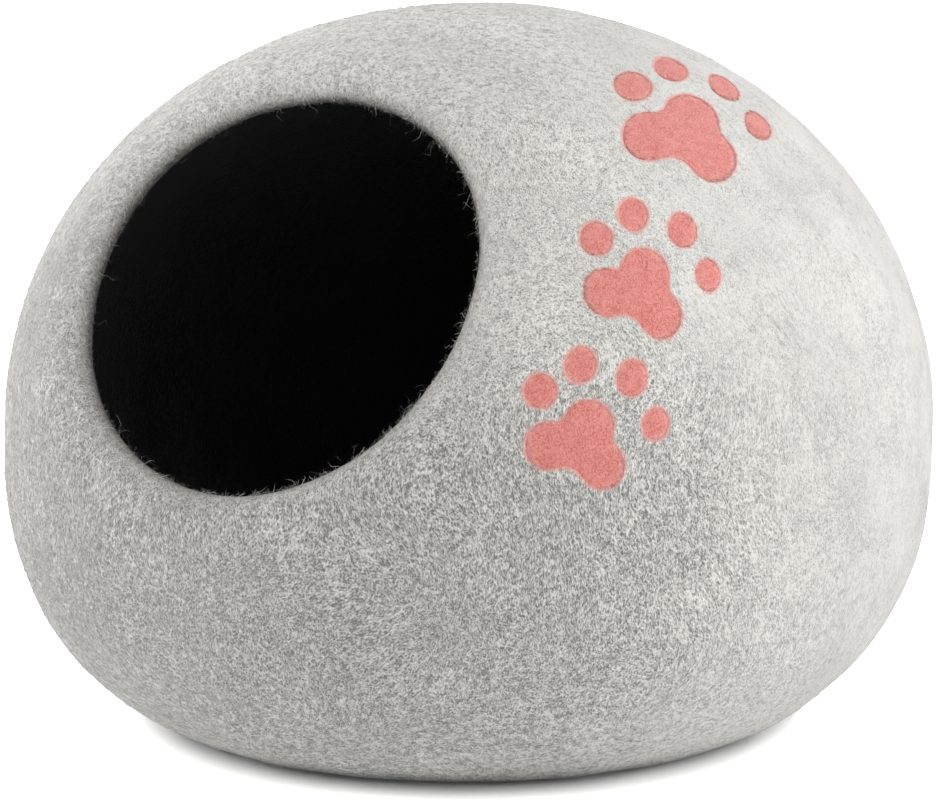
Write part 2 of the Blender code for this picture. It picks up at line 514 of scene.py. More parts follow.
        # Painted light and shade: the level rises on the right side, the lower right, the top and
        # near the base, and falls on the left.
        patches = paint.lumps(place, self.patch_scale, 2.0)
        level = bleached * (patches * self.bleached_patches + self.bleached_rise)
        lifted = shoulder * (1.0 - (flank + quiet) * self.shoulder_limit)
        level = level + lifted * self.shoulder_rise + flank * self.flank_rise
        level = level - quiet * self.quiet_fall + sole * self.sole_rise + self.base_level
        level = level + self.stray(paint, warped) * self.stray_weight
        light = (level + (mat + tufts * (crown + sole + 1.0)) * spread).clamp()
        grey = paint.blend(light, self.dark, paint.blend(bleached, self.pale, self.plain))

        fray = (tufts + grain) * self.fray_weight
        away = paint.mark(Mark.PAD_EDGE) + fray * self.halo_fray
        halo = (1.0 - away.between(*self.halo_reach)) * self.halo_strength
        grey = paint.blend(halo, grey, self.halo)
        # Painted shade: the lip darkens where it turns inward, earlier on the right side, and the
        # inside is painted near-black.
        turned = self.turned.mask(paint, place, broad) * self.turned_weight
        depth = paint.mark(Mark.LINING) * (turned + 1.0)
        depth = depth + turned * self.turned_depth + fray * self.lining_fray
        shaded = paint.vector("MULTIPLY", grey, self.worn)
        grey = paint.blend(depth.between(*self.worn_reach) * self.worn_strength, grey, shaded)
        colour = paint.blend(depth.between(*self.lining_reach), grey, self.lining)

        normal = paint.bump(mat * 0.8 + tufts * 0.9, self.relief, 0.9)
        return paint.wool(colour, 0.94 - fine * 0.1, 0.30, normal)


@dataclass(frozen=True)
class CoralFelt:
    """Coral pink needle-felted wool, finer than the shell's, and paler where it thins."""

    body: Colour = (0.785, 0.294, 0.262)
    deep: Colour = (0.56, 0.135, 0.115)
    edge: Colour = (0.82, 0.42, 0.37)
    # The pale wool where the pad thins at its edge, its own colour and no painted shade.
    worn: Colour = (0.74, 0.56, 0.51)
    strand_scale: float = 800.0
    strand_edge: float = 4.0
    strand_warp: float = 0.6
    grain_scale: float = 2100.0
    grain_weight: float = 2.8
    lump_scale: float = 170.0
    lump_weight: float = 1.2
    level: float = 0.36
    rim_fray: float = 0.9
    edge_reach: tuple[float, float] = (0.02, 0.80)
    edge_strength: float = 0.80
    worn_reach: tuple[float, float] = (0.50, 1.10)
    worn_strength: float = 0.75
    relief: float = 0.36 * MM

    def material(self) -> Material:
        """Return the finished material.

        Returns:
            The wool: mottled on the pad, thin and pale at its edge.
        """
        paint = Paint("coral_felt")
        place = paint.place()
        warp = self.strand_warp
        pattern = paint.noise(place, self.strand_scale, 1.0, roughness=0.6, distortion=warp)
        ridge = pattern.ridge(self.strand_edge)
        grain = paint.lumps(place, self.grain_scale, 1.0)
        lumps = paint.lumps(place, self.lump_scale, 2.0)
        light = ridge + lumps * self.lump_weight + grain * self.grain_weight
        light = (light + self.level).clamp()
        colour = paint.blend(light, self.deep, self.body)
        rim = paint.mark(Mark.RIM) + (grain + lumps) * self.rim_fray
        colour = paint.blend(rim.between(*self.edge_reach) * self.edge_strength, colour, self.edge)
        colour = paint.blend(rim.between(*self.worn_reach) * self.worn_strength, colour, self.worn)
        normal = paint.bump(ridge * 0.6 + grain * 0.6 + lumps * 0.9, self.relief, 0.8)
        return paint.wool(colour, 0.95 - light * 0.08, 0.18, normal)


@dataclass(frozen=True)
class StrandWool:
    """The wool of the loose strands, each with a tone of its own between two colours."""

    name: str
    low: Colour
    high: Colour

    def material(self) -> Material:
        """Return the finished material.

        Returns:
            The wool, which reads each strand's tone and run from its own map.
        """
        paint = Paint(self.name)
        place = paint.node("ShaderNodeUVMap", {"uv_map": Mark.STRAND_MAP.value}, {})
        tone = paint.node("ShaderNodeSeparateXYZ", {}, {0: place}, "X")
        along = paint.node("ShaderNodeSeparateXYZ", {}, {0: place}, "Y")
        light = (tone - (along * 2.0 - 1.0).size() * 0.12).clamp()
        return paint.wool(paint.blend(light, self.low, self.high), tone * 0.1 + 0.85, 0.15)


@dataclass(frozen=True)
class StageFinish:
    """A plain, matt finish of the studio."""

    name: str
    colour: Colour
    roughness: float

    def material(self) -> Material:
        """Return the finished material."""
        return Paint(self.name).wool(self.colour, self.roughness)


# ---- The form of the shell ----


def unit(rows: Array) -> Array:
    """Return each row at length 1."""
    return rows / np.linalg.norm(rows, axis=-1, keepdims=True)


def soft_least(first: Array, second: Array, blend: float) -> Array:
    """Return the smaller of two fields, blended where they are close."""
    share = np.maximum(0.0, blend - np.abs(first - second)) / blend
    return np.minimum(first, second) - share * share * blend / 4.0


@dataclass(frozen=True)
class Wave:
    """A long, shallow wave of the felt: its height and how fast it runs along each axis."""

    height: float
    run: Triple
    phase: float


@dataclass(frozen=True)
class CaveForm:
    """The cave's outside and its mouth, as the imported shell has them, and what the wool adds."""

    body_radius: float = 228.5 * MM
    waist_height: float = 143.7 * MM
    dome_rise: float = 199.2 * MM
    dome_fullness: float = 2.03
    bowl_drop: float = 164.6 * MM
    bowl_fullness: float = 2.57
    wall: float = 9.0 * MM
    waves: tuple[Wave, ...] = (
        Wave(0.88 * MM, (3.1, 1.7, -2.6), 2.80),
        Wave(1.02 * MM, (-2.3, 3.4, 3.1), 4.93),
        Wave(0.91 * MM, (3.3, -2.8, 5.2), 3.58),
    )
    mouth_rise: float = 31.1
    mouth_half_angle: float = 28.6
    mouth_waver: tuple[tuple[int, float, float], ...] = ((2, 0.000, 0.024), (3, -0.003, 0.007))
    roll_depth: float = 8.0 * MM
    roll_reach: float = 34.0 * MM
    pile: float = 1.5 * MM
    base_blend: float = 7.0 * MM
    lump_seed: int = 11
    lump_count: int = 26
    lump_millimetres: tuple[float, float] = (26.0, 95.0)
    lump_height: float = 0.055 * MM
    lump_length: float = 30.0 * MM

    @property
    def centre(self) -> Array:
        """Return the waist's centre."""
        return np.array((0.0, 0.0, self.waist_height))

    def mouth_frame(self) -> tuple[Array, Array, Array]:
        """Return the mouth's axis, the side that its turns start from, and its crown.

        Returns:
            Three directions that are square to each other.
        """
        rise = math.radians(self.mouth_rise)
        axis = np.array((0.0, -math.cos(rise), math.sin(rise)))
        side = np.array((-1.0, 0.0, 0.0))
        return axis, side, np.cross(side, axis)

    def rays(self, polar: Array, around: Array) -> Array:
        """Return the directions at angles from the mouth's axis and turns about it.

        Args:
            polar: angles from the mouth's axis, in radians.
            around: turns about it, in radians.

        Returns:
            The directions, each of length 1.
        """
        axis, side, crown = self.mouth_frame()
        rim = np.cos(around)[..., None] * side + np.sin(around)[..., None] * crown
        return np.cos(polar)[..., None] * axis + np.sin(polar)[..., None] * rim

    def angles(self, rays: Array) -> tuple[Array, Array]:
        """Return the polar angle and the turn about the mouth's axis of each direction.

        Args:
            rays: unit directions from the waist's centre.

        Returns:
            The angles from the mouth's axis and the turns about it, in radians.
        """
        axis, side, crown = self.mouth_frame()
        polar = np.arccos(np.clip(rays @ axis, -1.0, 1.0))
        return polar, np.arctan2(rays @ crown, rays @ side)

    def lip_angle(self, around: Array) -> Array:
        """Return the mouth's half angle at each turn.

        Args:
            around: turns about the mouth's axis, in radians.

        Returns:
            The half angles, in radians.
        """
        waver = np.ones_like(around)
        for count, cosine, sine in self.mouth_waver:
            waver = waver + cosine * np.cos(count * around) + sine * np.sin(count * around)
        return math.radians(self.mouth_half_angle) * waver

    def roll_share(self, polar: Array, around: Array) -> Array:
        """Return how far the wall has drawn in: 1 at the lip, 0 past the roll's reach."""
        travel = (polar - self.lip_angle(around)) * self.body_radius
        return np.maximum(0.0, 1.0 - travel / self.roll_reach) ** 2

    def radius(self, rays: Array, inset: float = 0.0) -> Array:
        """Return the distance from the waist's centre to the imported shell's surface.

        Args:
            rays: unit directions from the waist's centre.
            inset: how far the surface is drawn in.

        Returns:
            The distances.
        """
        up = rays[..., 2] >= 0.0
        drop = np.where(up, self.dome_rise, self.bowl_drop)
        power = np.where(up, self.dome_fullness, self.bowl_fullness)
        level = np.hypot(rays[..., 0], rays[..., 1]) / (self.body_radius - inset)
        rise = np.abs(rays[..., 2]) / (drop - inset)
        found = (level**power + rise**power) ** (-1.0 / power)
        for wave in self.waves:
            found = found + wave.height * np.sin(rays @ np.array(wave.run) + wave.phase)
        return found

    def normals(self, rays: Array) -> Array:
        """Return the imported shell's outward normals in these directions.

        Args:
            rays: unit directions from the waist's centre.

        Returns:
            The normals, each of length 1.
        """
        step = 0.001
        east = unit(np.stack((-rays[:, 1], rays[:, 0], np.zeros(len(rays))), axis=1))
        north = np.cross(rays, east)
        here = rays * self.radius(rays)[:, None]
        near = unit(rays + step * east)
        over = unit(rays + step * north)
        along = near * self.radius(near)[:, None] - here
        upward = over * self.radius(over)[:, None] - here
        normal = unit(np.cross(along, upward))
        return normal * np.sign((normal * rays).sum(axis=1))[:, None]

    def base(self, rays: Array, inset: float = 0.0) -> Array:
        """Return the distance from the waist's centre down to the flat base.

        Args:
            rays: unit directions from the waist's centre.
            inset: how far the base is raised.

        Returns:
            The distances, very long where a direction misses the base.
        """
        down = np.maximum(-rays[..., 2], 1e-4)
        return (self.waist_height - inset) / down

    def unevenness(self, rays: Array) -> Array:
        """Return the small lumps that hand felting leaves.

        Args:
            rays: unit directions from the waist's centre.

        Returns:
            How far the lumps stand out.
        """
        draw = np.random.default_rng(self.lump_seed)
        total = np.zeros(rays.shape[:-1])
        for _ in range(self.lump_count):
            length = draw.uniform(*self.lump_millimetres) * MM
            run = unit(draw.normal(size=3)) * math.tau * self.body_radius / length
            height = self.lump_height * math.sqrt(length / self.lump_length)
            total += height * np.sin(rays @ run + draw.uniform(0.0, math.tau))
        return total

    def outside(self, polar: Array, around: Array, sink: Any = 0.0) -> Array:
        """Return the points of the wool's outer face.

        Args:
            polar: angles from the mouth's axis.
            around: turns about it.
            sink: how far the face is pressed in there.

        Returns:
            The points.
        """
        rays = self.rays(polar, around)
        reach = self.radius(rays) + self.pile + self.unevenness(rays) - sink
        reach = soft_least(reach, self.base(rays), self.base_blend)
        reach = reach - self.roll_depth * self.roll_share(polar, around)
        return self.centre + rays * reach[..., None]

    def inside(self, polar: Array, around: Array) -> Array:
        """Return the points of the wall's inner face.

        Args:
            polar: angles from the mouth's axis, in radians.
            around: turns about it, in radians.

        Returns:
            The points.
        """
        rays = self.rays(polar, around)
        reach = np.minimum(self.radius(rays, self.wall), self.base(rays, self.wall))
        reach = reach - self.roll_depth * self.roll_share(polar, around)
        return self.centre + rays * reach[..., None]


# ---- Paw prints ----


@dataclass(frozen=True)
class Toe:
    """A toe pad in its paw's flat frame: an ellipse."""

    name: str
    x: float
    y: float
    half_width: float
    half_length: float

    def distance(self, x: Array, y: Array) -> Array:
        """Return about how far each flat point lies outside the ellipse.

        Args:
            x: places across the paw's flat frame.
            y: places along it.

        Returns:
            The distances, below 0 inside.
        """
        across = (x - self.x) / self.half_width
        along = (y - self.y) / self.half_length
        reach = np.hypot(across, along)
        return (reach - 1.0) * 0.5 * (self.half_width + self.half_length)

    @property
    def middle(self) -> tuple[float, float]:
        """Return the middle of the pad."""
        return self.x, self.y


@dataclass(frozen=True)
class Palm:
    """A palm pad in its paw's flat frame: the smooth union of four round lobes."""

    name: str = "palm"
    lobes: tuple[Triple, ...] = (
        (1.0 * MM, 8.8 * MM, 12.0 * MM),
        (-12.6 * MM, -5.8 * MM, 10.8 * MM),
        (13.2 * MM, -4.8 * MM, 10.8 * MM),
        (0.6 * MM, -1.0 * MM, 10.4 * MM),
    )
    blend: float = 5.0 * MM
    middle: tuple[float, float] = (0.0, 0.0)

    def distance(self, x: Array, y: Array) -> Array:
        """Return how far each flat point lies outside the palm.

        Args:
            x: places across the paw's flat frame.
            y: places along it.

        Returns:
            The distances, below 0 inside.
        """
        total = np.full(np.shape(x), FAR)
        for lobe_x, lobe_y, radius in self.lobes:
            total = soft_least(total, np.hypot(x - lobe_x, y - lobe_y) - radius, self.blend)
        return total


PADS: tuple[Any, ...] = (
    Palm(),
    Toe("toe_1", -24.6 * MM, 15.0 * MM, 8.1 * MM, 8.3 * MM),
    Toe("toe_2", -12.0 * MM, 32.6 * MM, 7.9 * MM, 9.0 * MM),
    Toe("toe_3", 12.0 * MM, 36.2 * MM, 7.8 * MM, 9.2 * MM),
    Toe("toe_4", 29.3 * MM, 21.4 * MM, 7.0 * MM, 8.0 * MM),
)


@dataclass(frozen=True)
class PawPrint:
    """A paw print: where its palm lies on the shell, its turn, its stretch and its slant."""

    name: str
    azimuth: float
    elevation: float
    turn: float
    across: float
    along: float
    slant: float
    form: CaveForm = CaveForm()
    least_facing: float = 0.2
    least_slope: float = 0.3
    probe: float = 0.05 * MM

    def frame(self) -> tuple[Array, Array, Array, Array]:
        """Return where the palm lies and how the paw is turned.

        Returns:
            The middle, seen from the waist's centre, then the directions right, ahead and outward.
        """
        azimuth, elevation = math.radians(self.azimuth), math.radians(self.elevation)
        level = math.cos(elevation)
        ray = np.array((level * math.sin(azimuth), -level * math.cos(azimuth), math.sin(elevation)))
        normal = self.form.normals(ray[None])[0]
        east = unit(np.cross(UP, normal))
        north = np.cross(normal, east)
        turn = math.radians(self.turn)
        right = math.cos(turn) * east - math.sin(turn) * north
        ahead = math.sin(turn) * east + math.cos(turn) * north
        return ray * self.form.radius(ray), right, ahead, normal

    def flat(self, rays: Array) -> tuple[Array, Array]:
        """Return where each direction meets the paw's flat frame.

        Args:
            rays: unit directions from the waist's centre.

        Returns:
            The places across and along the frame, far off for the shell's other side.
        """
        centre, right, ahead, normal = self.frame()
        facing = rays @ normal
        reach = (centre @ normal) / np.maximum(facing, self.least_facing)
        offset = rays * reach[:, None] - centre
        y = offset @ ahead / self.along
        x = (offset @ right - y * self.slant) / self.across
        shown = facing > self.least_facing
        return np.where(shown, x, 1.0), np.where(shown, y, 1.0)

    def point(self, x: Array, y: Array, height: Any) -> Array:
        """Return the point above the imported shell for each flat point.

        Args:
            x: places across the paw's flat frame.
            y: places along it.
            height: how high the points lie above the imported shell.

        Returns:
            The points.
        """
        centre, right, ahead, _ = self.frame()
        across = x * self.across + y * self.slant
        flat = centre + across[:, None] * right + (y * self.along)[:, None] * ahead
        rays = unit(flat)
        lift = self.form.normals(rays) * np.broadcast_to(height, x.shape)[:, None]
        return self.form.centre + rays * self.form.radius(rays)[:, None] + lift

    def distance(self, rays: Array) -> Array:
        """Return about how far each direction lies outside the nearest pad.

        Args:
            rays: unit directions from the waist's centre.

        Returns:
            The distances along the surface, below 0 inside.
        """
        x, y = self.flat(rays)
        nearest = np.full(len(rays), 1.0)
        for pad in PADS:
            here = pad.distance(x, y)
            rise_x = (pad.distance(x + self.probe, y) - here) / self.probe
            rise_y = (pad.distance(x, y + self.probe) - here) / self.probe
            slope_right = rise_x / self.across
            slope_ahead = (rise_y - rise_x * self.slant / self.across) / self.along
            slope = np.maximum(np.hypot(slope_right, slope_ahead), self.least_slope)
            nearest = np.minimum(nearest, here / slope)
        return nearest


@dataclass
class FeltPad:
    """One coral pad: a thin, softly crowned piece that is pressed into its pocket."""

    paw: PawPrint
    pad: Any
    segments: int
    crown: float = 1.85 * MM
    shoulder: float = 1.45 * MM
    foot: float = 0.75 * MM
    edge_width: float = 3.0 * MM
    edge_fall: float = 2.4
    edge_mark: float = 1.1
    last_share: float = 0.999
    halvings: int = 30
    fray: float = 0.45 * MM
    fray_share: float = 0.4
    fray_counts: tuple[int, ...] = (3, 5, 9, 17, 23, 31)
    tuck: float = 0.30 * MM
    crown_shares: tuple[float, ...] = (0.12, 0.25, 0.38, 0.5, 0.62, 0.72)
    edge_shares: tuple[float, ...] = (1.0, 0.8, 0.62, 0.46, 0.32, 0.2, 0.1, 0.03)
    under_shares: tuple[float, ...] = (0.985, 0.6, 0.3)
    lump_height: float = 0.07 * MM
    lump_sizes: tuple[float, float] = (2.3 * MM, 2.9 * MM)
    lump_turns: tuple[float, float] = (1.7, 0.4)
    fine_sizes: tuple[float, float] = (1.4 * MM, 1.9 * MM)
    fine_share: float = 0.6

    @property
    def node(self) -> str:
        """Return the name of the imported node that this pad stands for."""
        return f"{self.paw.name}_{self.pad.name}"

    def outline(self) -> Array:
        """Return how far the outline lies from the pad's middle at each turn, a little frayed.

        Returns:
            The distances, one for each turn.
        """
        turns = np.linspace(0.0, math.tau, self.segments, endpoint=False)
        low, high = np.zeros(self.segments), np.full(self.segments, FAR)
        for _ in range(self.halvings):
            reach = (low + high) / 2.0
            x = self.pad.middle[0] + reach * np.cos(turns)
            y = self.pad.middle[1] + reach * np.sin(turns)
            within = self.pad.distance(x, y) < 0.0
            low, high = np.where(within, reach, low), np.where(within, high, reach)
        draw = np.random.default_rng(len(self.node) * 7 + self.segments)
        for count in self.fray_counts:
            wave = np.sin(count * turns + draw.uniform(0.0, math.tau))
            low = low + self.fray * self.fray_share * wave
        return low + self.tuck

    def build(self, material: Material) -> Item:
        """Build the pad as one closed mesh.

        Args:
            material: the pad's wool.

        Returns:
            The pad, riding on the body and standing for its node.
        """
        turns = np.linspace(0.0, math.tau, self.segments, endpoint=False)
        reach = self.outline()
        typical = float(reach.mean())
        edge = self.edge_width / typical
        top = [*self.crown_shares, *(1.0 - edge * share for share in self.edge_shares)]
        rows = [(share, self.height(share, edge)) for share in sorted(top)]
        rows.append((1.0, (self.foot + self.height(self.last_share, edge)) / 2.0))
        rows += [(share, self.foot) for share in self.under_shares]
        middle_x, middle_y = self.pad.middle
        rings = []
        for share, height in rows:
            x = middle_x + share * reach * np.cos(turns)
            y = middle_y + share * reach * np.sin(turns)
            rings.append(self.paw.point(x, y, height + self.ripple(x, y, share)))
        ends = [
            self.paw.point(np.array([middle_x]), np.array([middle_y]), height)[0]
            for height in (self.crown, self.foot)
        ]
        piece = closed_skin(self.node + "_wool", ends[0], rings, ends[1])
        shares = [share for share, _ in rows[: len(top) + 1]]
        marked = edge * self.edge_mark
        rim = [0.0] + [max(0.0, 1.0 - (1.0 - share) / marked) for share in shares]
        rim += [0.0] * (len(rows) - len(shares) + 1)
        counts = [1] + [self.segments] * len(rows) + [1]
        carry(piece, Mark.RIM, np.repeat(rim, counts))
        finish_piece(piece, material)
        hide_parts(self.node)
        width = 2.0 * typical * self.paw.across
        length = 2.0 * typical * self.paw.along
        math.pi / 4.0 * width * length
        return piece

    def height(self, share: float, edge: float) -> float:
        """Return how high the crown stands at a share of the outline's reach.

        Args:
            share: the share, from 0 in the middle to 1 at the outline.
            edge: the share that the soft edge takes up.

        Returns:
            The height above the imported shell.
        """
        crown = self.crown + (self.shoulder - self.crown) * share**2
        near = max(0.0, (share - (1.0 - edge)) / edge)
        return self.foot + (crown - self.foot) * (1.0 - near**self.edge_fall)

    def ripple(self, x: Array, y: Array, share: float) -> Array:
        """Return the small lumps of the wool, none at the edge.

        Args:
            x: places across the paw's flat frame.
            y: places along it.
            share: the share of the outline's reach, as in height.

        Returns:
            How far the lumps stand out.
        """
        right = np.sin(x / self.lump_sizes[0] + self.lump_turns[0])
        ahead = np.sin(y / self.lump_sizes[1] + self.lump_turns[1])
        fine = np.sin(x / self.fine_sizes[0] - y / self.fine_sizes[1])
        lumps = right * ahead + self.fine_share * fine
        return self.lump_height * lumps * (1.0 - share**4)


# ---- Meshes ----


def put(name: str, data: Any) -> Item:
    """Put a new object in the scene.

    Args:
        name: its name.
        data: its mesh, lamp or camera.

    Returns:
        The object.
    """
    item = bpy.data.objects.new(name, data)
    bpy.context.scene.collection.objects.link(item)
    return item


def closed_skin(name: str, first: Array, rings: Sequence[Array], last: Array) -> Item:
    """Close a stack of rings into one skin, with a fan to a point at each end.

    Args:
        name: the piece's name.
        first: the point that closes the first ring.
        rings: rings of the same count, in order.
        last: the point that closes the last ring.

    Returns:
        The new object, with its faces pointing outward.
    """
    count = len(rings[0])
    points = np.concatenate([first[None], *rings, last[None]])
    here = np.arange(count)
    after = (here + 1) % count
    end = len(points) - 1
    faces: list[tuple[int, ...]] = [(0, 1 + a, 1 + b) for a, b in zip(here, after)]
    for ring in range(len(rings) - 1):
        near = 1 + ring * count
        far = near + count
        faces += [(near + a, far + a, far + b, near + b) for a, b in zip(here, after)]
    near = 1 + (len(rings) - 1) * count
    faces += [(end, near + b, near + a) for a, b in zip(here, after)]
    mesh = bpy.data.meshes.new(name)
    mesh.from_pydata(points.tolist(), [], faces)
    work = bmesh.new()
    work.from_mesh(mesh)
    bmesh.ops.recalc_face_normals(work, faces=work.faces)
    work.to_mesh(mesh)
    work.free()
    return put(name, mesh)


def carry(item: Item, mark: Mark, values: Array) -> None:
    """Let a mesh carry a number, or a vector, for each of its points.

    Args:
        item: the piece.
        mark: the name.
        values: a row for each point.
    """
    kind, key = ("FLOAT", "value") if values.ndim == 1 else ("FLOAT_VECTOR", "vector")
    layer = item.data.attributes.new(mark.value, kind, "POINT")
    layer.data.foreach_set(key, values.astype(np.float32).ravel())


def carried(item: Item, mark: Mark) -> Array:
    """Return the numbers that a mesh carries for its points.

    Args:
        item: the piece.
        mark: the name.

    Returns:
        A number for each point.
    """
    layer = item.data.attributes[mark.value]
    found = np.empty(len(layer.data), np.float32)
    layer.data.foreach_get("value", found)
    return found.astype(float)


def mesh_points(item: Item) -> Array:
    """Return a mesh's points.

    Args:
        item: the piece.

    Returns:
        A row for each point.
    """
    found = np.empty(len(item.data.vertices) * 3, np.float32)
    item.data.vertices.foreach_get("co", found)
    return found.reshape(-1, 3).astype(float)


def finish_piece(item: Item, material: Material) -> None:
    """Give a piece its material, smooth shading and its body.

    Args:
        item: the piece.
        material: its material.
    """
    item.data.materials.clear()
    item.data.materials.append(material)
    item.data.shade_smooth()
    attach(item, BODY)
    LOG.info("%s: %d faces", item.name, len(item.data.polygons))


@dataclass
class FeltShell:
    """The seamless shell: outer face, rolled lip and inner face, which its wool paints near-black
    as shade, as one closed skin.
    """

    form: CaveForm
    paws: tuple[PawPrint, ...]
    segments: int = 240
    outer_rings: int = 104
    inner_rings: int = 40
    lip_steps: int = 20
    crowding: float = 1.25
    lip_half_thickness: float = 6.2 * MM
    lip_length: float = 10.5 * MM
    pocket_depth: float = 1.20 * MM
    pocket_slope: float = 0.27 * MM
    pocket_reach: float = 12.0 * MM
    seam: float = 1.30 * MM
    shown_edge: float = 0.5 * MM
    bank_rise: float = 0.12 * MM
    bank_place: float = 3.0 * MM
    bank_width: float = 1.6 * MM
    skin_depth: float = 3.0 * MM
    lip_probe: float = 0.002
    steepest: float = 40.0
    farthest: float = 20.0
    fine_bands: tuple[float, ...] = (4.6 * MM, 3.0 * MM, 1.8 * MM, 1.0 * MM)

    def ring_angles(self, start: Array, count: int) -> list[Array]:
        """Return the polar angles of the rings from the lip to the last one before the far pole."""
        span = math.pi - start
        return [start + span * (step / count) ** self.crowding for step in range(1, count)]

    def pad_distance(self, rays: Array) -> Array:
        """Return how far each direction lies outside the nearest pad."""
        return np.minimum.reduce([paw.distance(rays) for paw in self.paws])

    def sections(self) -> tuple[list[Array], Array]:
        """Work out the rings of the wall, from the inner face round the lip to the outer face.

        Returns:
            The rings, and how far round into the shaded inside each lies: 0 outside, 0 to 1 round
            the lip and 2 on the inner face, which the wool paints near-black as shade.
        """
        form = self.form
        around = np.linspace(0.0, math.tau, self.segments, endpoint=False)
        start = form.lip_angle(around) + self.lip_length / form.body_radius
        edge = form.outside(start, around)
        away = unit(form.outside(start + self.lip_probe, around) - edge)
        ray = form.rays(start, around)
        outward = unit(ray - (ray * away).sum(axis=1)[:, None] * away)
        middle = edge - outward * self.lip_half_thickness
        lip = []
        lining = []
        for step in range(self.lip_steps + 1):
            turn = math.pi * (1.0 - step / self.lip_steps)
            rise = self.lip_half_thickness * math.cos(turn) * outward
            lip.append(middle + rise - self.lip_length * math.sin(turn) * away)
            lining.append(1.0 - step / self.lip_steps)
        join = lip[0] - form.inside(start, around)
        inner = []
        for polar in self.ring_angles(start, self.inner_rings):
            share = form.roll_share(polar, around)[:, None]
            inner.append(form.inside(polar, around) + join * share)
        outer = [form.outside(polar, around) for polar in self.ring_angles(start, self.outer_rings)]
        depth = [2.0] * len(inner) + lining + [0.0] * len(outer)
        return inner[::-1] + lip + outer, np.array(depth)

    def refine(self, item: Item) -> None:
        """Draw the felt finer round the pads, where its pockets have soft edges.

        Args:
            item: the shell.
        """
        work = bmesh.new()
        work.from_mesh(item.data)
        for band in self.fine_bands:
            places = np.array([vertex.co[:] for vertex in work.verts]) - self.form.centre
            rays = unit(places)
            close = np.abs(self.pad_distance(rays) + self.seam) < band
            close &= np.linalg.norm(places, axis=1) > self.form.radius(rays) - self.skin_depth
            work.verts.ensure_lookup_table()
            near = [work.verts[int(index)] for index in np.flatnonzero(close)]
            edges = {edge for vertex in near for face in vertex.link_faces for edge in face.edges}
            ordered = sorted(edges, key=lambda edge: edge.index)
            bmesh.ops.subdivide_edges(work, edges=ordered, cuts=1, use_grid_fill=True)
        work.to_mesh(item.data)
        work.free()

    def press_pockets(self, item: Item) -> Array:
        """Bring the added points on to the surface, and press the felt in under the pads.

        Args:
            item: the shell.

        Returns:
            How far each point lies outside the shown edge of the nearest pad, in millimetres.
        """
        points = mesh_points(item)
        rays = unit(points - self.form.centre)
        rise = np.linalg.norm(points - self.form.centre, axis=1) - self.form.radius(rays)
        skin = rise > -self.skin_depth
        distance = self.pad_distance(rays)
        outer = skin & (distance < self.pocket_reach)
        polar, around = self.form.angles(rays[outer])
        steps = (distance[outer] + self.seam) / self.pocket_slope
        wall = 1.0 / (1.0 + np.exp(np.clip(steps, -self.steepest, self.steepest)))
        bank = (distance[outer] - self.bank_place) / self.bank_width
        raised = self.bank_rise * np.exp(-(bank**2))
        points[outer] = self.form.outside(polar, around, self.pocket_depth * wall - raised)
        item.data.vertices.foreach_set("co", points.astype(np.float32).ravel())
        item.data.update()
        shown = np.where(skin, distance + self.shown_edge, 1.0)
        return np.clip(shown / MM, -self.farthest, self.farthest)

    def build(self, material: Material) -> Item:
        """Build the shell.

        Args:
            material: its heathered wool.

        Returns:
            The shell, riding on the body and standing for its node.
        """
        rings, depth = self.sections()
        turn = np.array([0.0])
        far = np.array([math.pi])
        first = self.form.inside(far, turn)[0]
        last = self.form.outside(far, turn)[0]
        item = closed_skin(SHELL_NAME, first, rings, last)
        counts = [1] + [self.segments] * len(rings) + [1]
        carry(item, Mark.LINING, np.repeat([2.0, *depth, 0.0], counts))
        self.refine(item)
        carry(item, Mark.PAD_EDGE, self.press_pockets(item))
        finish_piece(item, material)
        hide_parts("felt_shell")
        return item


# ---- Loose strands ----


